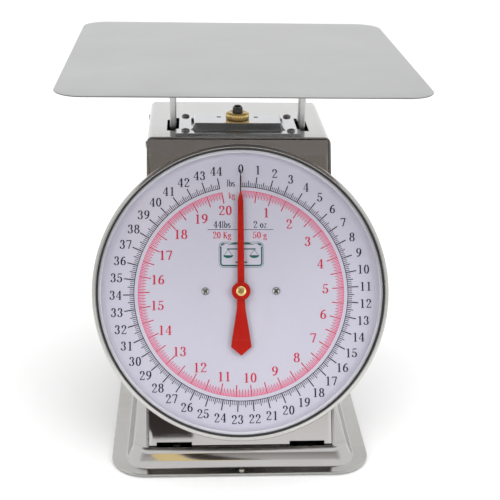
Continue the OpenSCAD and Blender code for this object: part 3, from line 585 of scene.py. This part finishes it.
GLYPHS = {
    "0": (0.58, [bow(0.29, 0.5, 0.19, 0.47, 0, 360)]),
    "1": (0.58, [bar(0.3, 0, 0.3, 0.98, THICK), bar(0.14, 0.02, 0.46, 0.02, THIN),
                 bar(0.13, 0.86, 0.27, 0.95, 0.06)]),
    "2": (0.58, [bow(0.28, 0.72, 0.18, 0.25, 170, -28), bar(0.42, 0.6, 0.09, 0.08, 0.08),
                 bar(0.07, 0.05, 0.5, 0.05, 0.1), bar(0.5, 0.03, 0.53, 0.22, 0.05),
                 blob(0.13, 0.72, 0.07)]),
    "3": (0.58, [bow(0.27, 0.75, 0.16, 0.22, 165, -90), bow(0.26, 0.28, 0.2, 0.25, 90, -165),
                 blob(0.14, 0.76, 0.065), blob(0.1, 0.22, 0.065)]),
    "4": (0.58, [bar(0.4, 0, 0.4, 0.98, THICK), bar(0.38, 0.95, 0.05, 0.29, 0.06),
                 bar(0.04, 0.28, 0.56, 0.28, 0.06),
                 bar(0.26, 0.02, 0.54, 0.02, THIN)]),
    "5": (0.58, [bar(0.14, 0.93, 0.49, 0.93, 0.11), bar(0.14, 0.95, 0.11, 0.5, 0.055),
                 bow(0.25, 0.31, 0.21, 0.28, 135, -165), blob(0.1, 0.24, 0.065)]),
    "6": (0.58, [bow(0.29, 0.3, 0.19, 0.27, 0, 360), bow(0.5, 0.36, 0.4, 0.6, 100, 182),
                 blob(0.44, 0.88, 0.06)]),
    "7": (0.58, [bar(0.06, 0.92, 0.53, 0.92, 0.11), bar(0.06, 0.96, 0.05, 0.74, 0.05),
                 bar(0.5, 0.9, 0.24, 0, 0.11)]),
    "8": (0.58, [bow(0.29, 0.74, 0.16, 0.22, 0, 360), bow(0.29, 0.27, 0.2, 0.25, 0, 360)]),
    "9": (0.58, [bow(0.29, 0.7, 0.19, 0.27, 0, 360), bow(0.08, 0.64, 0.4, 0.6, -80, 2),
                 blob(0.14, 0.12, 0.06)]),
    "l": (0.3, [bar(0.16, 0, 0.16, 1.0, 0.11), bar(0.05, 0.02, 0.27, 0.02, THIN),
                bar(0.06, 0.96, 0.16, 0.98, THIN)]),
    "b": (0.54, [bar(0.13, 0.02, 0.13, 1.0, 0.11), bow(0.28, 0.32, 0.17, 0.3, 0, 360),
                 bar(0.03, 0.97, 0.13, 0.98, THIN)]),
    "s": (0.42, [bow(0.21, 0.48, 0.12, 0.15, 30, 260), bow(0.21, 0.18, 0.13, 0.16, 90, -160)]),
    "k": (0.54, [bar(0.13, 0, 0.13, 1.0, 0.11), bar(0.14, 0.28, 0.42, 0.62, 0.05),
                 bar(0.24, 0.38, 0.45, 0.02, 0.11),
                 bar(0.03, 0.02, 0.24, 0.02, THIN), bar(0.33, 0.02, 0.53, 0.02, THIN),
                 bar(0.32, 0.63, 0.5, 0.63, THIN)]),
    "K": (0.68, [bar(0.16, 0, 0.16, 0.95, THICK), bar(0.2, 0.38, 0.52, 0.93, 0.06),
                 bar(0.3, 0.52, 0.54, 0.02, THICK),
                 bar(0.04, 0.02, 0.3, 0.02, THIN), bar(0.04, 0.95, 0.3, 0.95, THIN),
                 bar(0.42, 0.02, 0.66, 0.02, THIN),
                 bar(0.42, 0.95, 0.62, 0.95, THIN)]),
    "g": (0.5, [bow(0.23, 0.42, 0.14, 0.2, 0, 360), bow(0.25, -0.1, 0.18, 0.15, 0, 360),
                bar(0.16, 0.25, 0.2, 0.06, 0.06),
                bar(0.33, 0.58, 0.47, 0.64, 0.05)]),
    "o": (0.5, [bow(0.25, 0.32, 0.17, 0.29, 0, 360)]),
    "z": (0.46, [bar(0.06, 0.6, 0.4, 0.6, 0.07), bar(0.38, 0.6, 0.08, 0.05, 0.08),
                 bar(0.06, 0.04, 0.42, 0.04, 0.07)]),
    " ": (0.3, []),
}


def written(text, x, y, height, squeeze=1.0, spacing=0.0):
    """Text centred on (x, y); height is that of a figure."""
    width = sum(GLYPHS[c][0] + spacing for c in text) - spacing
    pen_x = -width / 2
    parts = []
    for c in text:
        for left, right, closed in GLYPHS[c][1]:
            def put(p):
                return x + (pen_x + p[0]) * height * squeeze, y + (p[1] - 0.5) * height
            parts.append(strip([put(p) for p in left], [put(p) for p in right], closed))
        pen_x += GLYPHS[c][0] + spacing
    return parts


LB_STEP, KG_STEP = 7.92, 17.46
LB_RANGE, KG_RANGE = 44 * LB_STEP, 20 * KG_STEP
LB_LINE, KG_LINE = 77.8, 74.9  # where the marks of each scale start
dark = [ring_print(77.7, 78.2, 0, LB_RANGE)]
for i in range(44 * 8 + 1):
    length, width = (85.8, 0.8) if i % 8 == 0 else (82.6, 0.6) if i % 4 == 0 else (81.1, 0.48)
    dark.append(tick(LB_LINE, length, i * LB_STEP / 8, width))
for i in range(45):
    x, y = turned(91.2, i * LB_STEP)
    dark += written(str(i), x, y, 6.5, 1.12, 0.06)
dark += written("lbs", -7.5, 80.6, 5.0)
dark += written("44lbs", -14.0, 50.2, 5.0, 1.05)
dark += written("2 oz", 13.9, 50.2, 5.0, 1.1)
dark.append(strip([(-24.4, 46.55), (23.6, 46.55)], [(-24.4, 46.15), (23.6, 46.15)]))
piece("print_pounds", merged(dark), HOUSING, "ink", PRINT)


def raised(parts, extra):
    """Print laid over print already there."""
    verts, faces = merged(parts)
    return [(x, y, z + extra if z > FACE_Z else z) for x, y, z in verts], faces


piece("print_band", ring_print(73.1, KG_LINE, 0, KG_RANGE), HOUSING, "pink_ink", PRINT)
rose = [tick(69.6 if i % 2 == 0 else 70.9, 74.85, i * KG_STEP / 20, 0.54 if i % 2 == 0 else 0.42)
        for i in range(20 * 20 + 1) if i % 10]
piece("print_ticks", raised(rose, 0.01), HOUSING, "rose_ink", PRINT)

red = [ring_print(74.85, 75.1, 0, KG_RANGE)]
for i in range(20 * 2 + 1):
    red.append(tick(66.6, KG_LINE, i * KG_STEP / 2, 0.75))
for i in range(1, 21):
    x, y = turned(61.6, i * KG_STEP)
    red += written(str(i), x, y, 6.9, 1.18, 0.05)
red += written("kg", -6.7, 71.6, 4.6)
red += written("20 Kg", -14.0, 42.4, 4.9, 1.05)
red += written("50 g", 13.6, 42.4, 4.9, 1.1)
piece("print_kilograms", raised(red, 0.02), HOUSING, "red_ink", PRINT)


def badge_frame(grow):
    return [p[:2] for p in rect_loop(31 + 2 * grow, 17 + 2 * grow, 2.5 + grow, 0, (0, 28.0), 6)]


badge = [strip(badge_frame(0), badge_frame(-1.1), True), strip(badge_frame(0.9), badge_frame(0.6), True)]
# A plain balance: beam, post, foot and two pans
badge += [strip([(-10.5, 32.6), (10.5, 32.6)], [(-10.5, 31.7), (10.5, 31.7)]),
          strip([(-0.6, 32.0), (-0.6, 22.5)], [(0.6, 32.0), (0.6, 22.5)]),
          strip([(-4.2, 23.0), (4.2, 23.0)], [(-4.2, 21.9), (4.2, 21.9)])]
half_turn = [math.pi * k / 8 for k in range(9)]
for side in (-9.5, 9.5):
    badge += [strip([(side, 32.0), (side - 3.2, 27.6)], [(side + 0.4, 32.0), (side - 2.8, 27.6)]),
              strip([(side - 0.4, 32.0), (side + 2.8, 27.6)], [(side, 32.0), (side + 3.2, 27.6)]),
              strip([(side + 3.6 * math.cos(a), 27.6) for a in half_turn],
                    [(side + 3.6 * math.cos(a), 27.5 - 2.0 * math.sin(a)) for a in half_turn])]
piece("print_badge", merged(badge), HOUSING, "badge_ink", PRINT)


# ---------- Pointer ----------


def pointer_shape():
    hub_r, n = 6.7, 18
    lower = [(3.1, -12.5), (6.4, -33.0), (7.5, -40.6), (0.15, -46.9)]
    upper = [(2.5, 9.0), (2.35, 30.0), (2.1, 66.0), (1.5, 69.5), (0.55, 73.0)]
    start = math.atan2(-6.0, 2.9)
    end = math.atan2(6.2, 2.5)
    hub = [(hub_r * math.cos(start + (end - start) * k / n), hub_r * math.sin(start + (end - start) * k / n))
           for k in range(n + 1)]
    side = lower[::-1] + hub + upper
    return side + [(-x, y) for x, y in side[::-1]]


arrow = bevelled(pointer_shape(), 15.5, 16.7, 0.34)
hub = revolved([(1.5, 14.6), (5.6, 14.6), (6.5, 14.9), (6.8, 15.4), (6.8, 17.3), (6.6, 17.75), (6.1, 18.0),
                (4.4, 18.0), (4.2, 17.9), (1.5, 17.9)], 64)
ridge = strip([(-6.3, -33.0), (6.3, -33.0)], [(-6.25, -33.25), (6.25, -33.25)])
ridge = ([(x, y, 16.78 if z > FACE_Z else 16.6) for x, y, z in ridge[0]], ridge[1])
piece("pointer_moulding", merged([arrow, hub, ridge]), POINTER, "red", DIAL, nodes=["pointer"])
needle = bevelled([(0.36, 89.6), (-0.36, 89.6), (-0.52, 72.6), (0.52, 72.6)], 15.7, 16.5, 0.1)
piece("pointer_needle", needle, POINTER, "tip", DIAL)


# ---------- Zero adjuster ----------


def knurled(z0, z1, r, bore, ribs=36):
    """A knurled wheel: fine ribs round the rim, chamfered edges and a turned top."""
    h = z1 - z0
    # Radius, height and how deep the ribs cut there, from 0 to 1
    rows = [(bore, 0.0, 0), (r - 1.3, 0.0, 0), (r - 0.5, 0.35, 0.4), (r, 0.8, 1), (r, h * 0.5, 1),
            (r, h - 1.5, 1), (r - 0.5, h - 0.9, 0.4), (r - 1.5, h - 0.55, 0), (r - 2.0, h - 0.5, 0),
            (r - 2.3, h - 0.05, 0), (bore + 0.9, h, 0), (bore + 0.3, h - 0.25, 0), (bore, h - 0.5, 0)]
    steps = ribs * 6
    loops = []
    for k in range(steps):
        a = 2 * math.pi * k / steps
        wave = 0.5 - 0.5 * math.cos(ribs * a)
        ring = [(q - 0.75 * wave * depth, z0 + z) for q, z, depth in rows]
        loops.append([(q * math.cos(a), q * math.sin(a), z) for q, z in ring])
    return bridged(loops, closed_path=True)


ADJUSTER = Matrix.Translation((0, PLATFORM_Y, 0))
piece("knob_wheel", knurled(BRIDGE_Z + BRIDGE_RISE, 229.0, 9.1, 4.05), KNOB, "knob", ADJUSTER,
      nodes=["zero_knob"])


def stud_shape():
    """Blacked stud: thread inside the housing, plain above, a chamfer coloured light steel as a painted
    highlight, and a low dome on top.
    """
    rows, z = [(0, 197.0), (3.4, 197.0)], 197.6
    while z < 222.0:
        rows += [(3.55, z), (3.95, z + 0.45), (3.95, z + 0.7)]
        z += 1.25
    rows += [(3.9, 223.2), (3.9, 232.6), (3.8, 232.9), (3.1, 233.5), (2.9, STUD_TOP)]
    rows += [(2.9 * math.cos(a), STUD_TOP + 0.95 * math.sin(a))
             for a in (math.pi / 2 * k / 5 for k in range(1, 6))]
    return revolved(rows, 48)


# The chamfer ring gets light screw steel: a painted highlight on the black stud.
def on_chamfer(middle, normal):
    return STUD_TOP - 0.8 < middle.z < STUD_TOP - 0.03


piece("adjuster_stud", stud_shape(), HANGER, "black", ADJUSTER, nodes=["zero_stud"], sharp=50,
      second=("screw", on_chamfer))


# ---------- Bridge ----------


def eased(t):
    t = min(1.0, max(0.0, t))
    return t * t * (3 - 2 * t)


def bridge_shape():
    """Sheet pressed up in the middle, with soft ramps at the front and back and short ones at the sides."""
    def height(x, y):
        along = eased((19.5 - abs(y)) / 6.5)
        across = eased((36.0 - abs(x)) / 3.0)
        return BRIDGE_RISE * along * across

    xs, ys = range(-48, 49), range(-27, 28)
    nx, ny = len(xs), len(ys)
    verts = [(x, y, z + height(x, y)) for z in (BRIDGE_Z, BRIDGE_Z - SHEET) for y in ys for x in xs]
    half = nx * ny
    faces = []
    for j in range(ny - 1):
        for i in range(nx - 1):
            a = j * nx + i
            faces.append((a, a + 1, a + nx + 1, a + nx))
            faces.append((half + a, half + a + nx, half + a + nx + 1, half + a + 1))
    edge = list(range(nx)) + [j * nx + nx - 1 for j in range(1, ny)]
    edge += [(ny - 1) * nx + i for i in range(nx - 2, -1, -1)] + [j * nx for j in range(ny - 2, 0, -1)]
    for k, a in enumerate(edge):
        b = edge[(k + 1) % len(edge)]
        faces.append((a, half + a, half + b, b))
    tools = [block(45.3 * s if s > 0 else -60, 60 if s > 0 else -45.3, -15, 15, 210, 230) for s in (-1, 1)]
    tools += [block(14.5 * s - 1.6, 14.5 * s + 1.6, 3.0, 5.8, 210, 230) for s in (-1, 1)]
    tools += [revolved([(0, 210), (4.6, 210), (4.6, 230), (0, 230)], 40)]
    return cut((verts, faces), tools)


piece("bridge_pressing", bridge_shape(), HOUSING, "bridge", ADJUSTER,
      nodes=["top_bridge"], sharp=40)


# ---------- Springs ----------


def spring_shape(x):
    """Close-wound extension spring with a loop at each end."""
    wire, coil, low, high = 1.15, 6.7, 66.0, 188.0
    turns, sides = 50, 14
    path = []
    for i in range(turns * sides + 1):
        a = 2 * math.pi * i / sides
        z = low + (high - low) * i / (turns * sides)
        path.append((x + coil * math.cos(a), PLATFORM_Y + coil * math.sin(a), z))
    hook = [(coil, 0.0), (coil * 0.75, 3.0), (coil * 0.2, 4.2), (0.0, 7.0), (0.0, 15.5)]
    down = [(x + r, PLATFORM_Y, low - d) for r, d in hook[1:]]
    up = [(x + r, PLATFORM_Y, high + d) for r, d in hook[1:]]
    return tube_along(down[::-1] + path + up, wire)


springs = piece("spring_pair", merged([spring_shape(-22), spring_shape(22)]), HOUSING,
                "spring", nodes=["main_springs"], sharp=60, parent=False)
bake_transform(springs)


# ---------- CAD nodes that stay ----------

FINISHES = {
    "shell": ["housing_shell"],
    "base": ["rear_panel"],
    "drum": ["dial_drum"],
    "zinc": ["inner_chassis", "lever_pivot_rods", "dial_spacers", "tray_bracket", "tray_sockets",
             "support_posts", "carriage_frame", "carriage_pins", "rack_arm", "upper_lever", "lower_lever",
             "spring_hanger", "pointer_arbor"],
    "screw": ["foot_screws", "housing_base_screws", "chassis_screws", "movement_screws", "post_screws",
              "rack_arm_screws", "rack_screws"],
    "brass": ["movement_front_plate", "movement_pillars", "movement_rear_plate", "front_bush", "rear_bush",
              "pinion", "gear_rack"],
    "rubber": ["rubber_feet"],
}
for finish, names in FINISHES.items():
    for name in names:
        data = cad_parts[name].data
        data.materials.clear()
        data.materials.append(M[finish])


# ---------- Studio ----------


def studio_material(name, base, tint, rough):
    return look(name, base, tint, 0.0, rough, 0.1, (40, 40, 40), 0.05, 1.5, 0.7)


M["floor"] = studio_material("studio_floor", (0.93, 0.93, 0.93), (0.95, 0.95, 0.95), 0.75)
M["card"] = studio_material("studio_dark_card", (0.01, 0.006, 0.004), (0.02, 0.012, 0.009), 0.8)
M["tan"] = studio_material("studio_tan_card", (0.86, 0.66, 0.31), (0.92, 0.74, 0.38), 0.8)


def staged(name, shape, material):
    data = bpy.data.meshes.new(name)
    data.from_pydata([Vector(v) * MM for v in shape[0]], [], shape[1])
    data.shade_smooth()
    data.materials.append(M[material])
    made = bpy.data.objects.new(name, data)
    bpy.context.scene.collection.objects.link(made)


sweep_rows = [(-2600, 0)] + [(1400 + 900 * math.sin(a), 900 - 900 * math.cos(a)) for a in
                             (math.pi / 2 * k / 12 for k in range(13))] + [(2300, 2600)]
sweep = [[(-3000, y, z), (3000, y, z)] for y, z in sweep_rows]
staged("studio_sweep", bridged(sweep, closed_loop=False, capped=False), "floor")


def card_at(name, y, outline, material):
    staged(name, ([(x, y, z) for x, z in outline], [tuple(range(len(outline)))]), material)


card_at("studio_card_left", -1500, [(-800, 566), (-33, 558), (-33, 900), (-800, 900)], "card")
card_at("studio_card_lens", -1520, [(-300, 616), (460, 616), (460, 1215), (-300, 1215)], "card")
card_at("studio_card_tan", -700, [(-129, 509), (-126, 576), (-113, 622), (-93, 639), (-53, 653), (19, 646),
                                  (92, 635), (19, 626), (-26, 620), (-54, 604), (-73, 573), (-93, 527),
                                  (-103, 508)], "tan")
card_at("studio_card_streak", -700, [(-92, 504), (-71, 563), (-52, 599), (-23, 616), (22, 622), (93, 630),
                                     (68, 608), (17, 590), (-23, 570), (-52, 540), (-69, 509)], "card")


def soft_light(name, place, aim, size, power, colour=(1, 1, 1)):
    data = bpy.data.lights.new(name, "AREA")
    data.shape = "RECTANGLE"
    data.size, data.size_y = size
    data.energy = power
    data.color = colour
    made = bpy.data.objects.new(name, data)
    made.location = place
    made.rotation_euler = (Vector(aim) - Vector(place)).to_track_quat("-Z", "Y").to_euler()
    made.visible_glossy = False
    bpy.context.scene.collection.objects.link(made)


soft_light("top_soft", (0.15, 0.1, 1.7), (0, 0, 0.1), (1.8, 1.8), 16)
soft_light("left_soft", (-1.1, -1.5, 0.85), (0, 0, 0.14), (0.9, 1.1), 8, (1.0, 0.99, 0.98))
soft_light("right_soft", (1.2, -1.4, 0.8), (0, 0, 0.14), (0.8, 1.1), 7.5, (0.98, 0.99, 1.0))

world = bpy.data.worlds.new("studio")
bpy.context.scene.world = world
world.use_nodes = True
tree = world.node_tree
way = node(tree, "TexCoord").outputs["Generated"]
axes = node(tree, "SeparateXYZ", {0: way})
behind = ramped(tree, axes.outputs["Y"], -0.35, -0.75, 0.0, 1.0)
rise = ramped(tree, axes.outputs["Z"], 0.33, 0.55, 0.0, 1.0)
fall = ramped(tree, axes.outputs["Z"], 0.68, 0.76, 1.0, 0.0)
shade = node(tree, "Math", {0: behind, 1: rise}, operation="MULTIPLY").outputs[0]
shade = node(tree, "Math", {0: shade, 1: fall}, operation="MULTIPLY").outputs[0]
sky = mixed(tree, shade, (0.92, 0.92, 0.92, 1.0), (0.21, 0.19, 0.175, 1.0))
background = tree.nodes["Background"]
tree.links.new(sky, background.inputs["Color"])
background.inputs["Strength"].default_value = 1.06


# ---------- Camera ----------

PITCH, YAW, ROLL = 0.3991, 0.06153, 0.02168
ahead = Vector((math.sin(YAW) * math.cos(PITCH), math.cos(YAW) * math.cos(PITCH), -math.sin(PITCH)))
right = Vector((math.cos(YAW), -math.sin(YAW), 0))
up = right.cross(ahead)
right, up = (math.cos(ROLL) * right + math.sin(ROLL) * up, -math.sin(ROLL) * right + math.cos(ROLL) * up)
lens_data = bpy.data.cameras.new("camera")
lens_data.lens = 75.33
lens_data.sensor_width = 36.0
lens_data.clip_start = 0.02
camera = bpy.data.objects.new("camera", lens_data)
camera.matrix_world = Matrix((
    (right.x, up.x, -ahead.x, -0.0367),
    (right.y, up.y, -ahead.y, -0.77585),
    (right.z, up.z, -ahead.z, 0.44637),
    (0, 0, 0, 1)))
bpy.context.scene.collection.objects.link(camera)
bpy.context.scene.camera = camera
bpy.context.scene.view_settings.view_transform = "Standard"
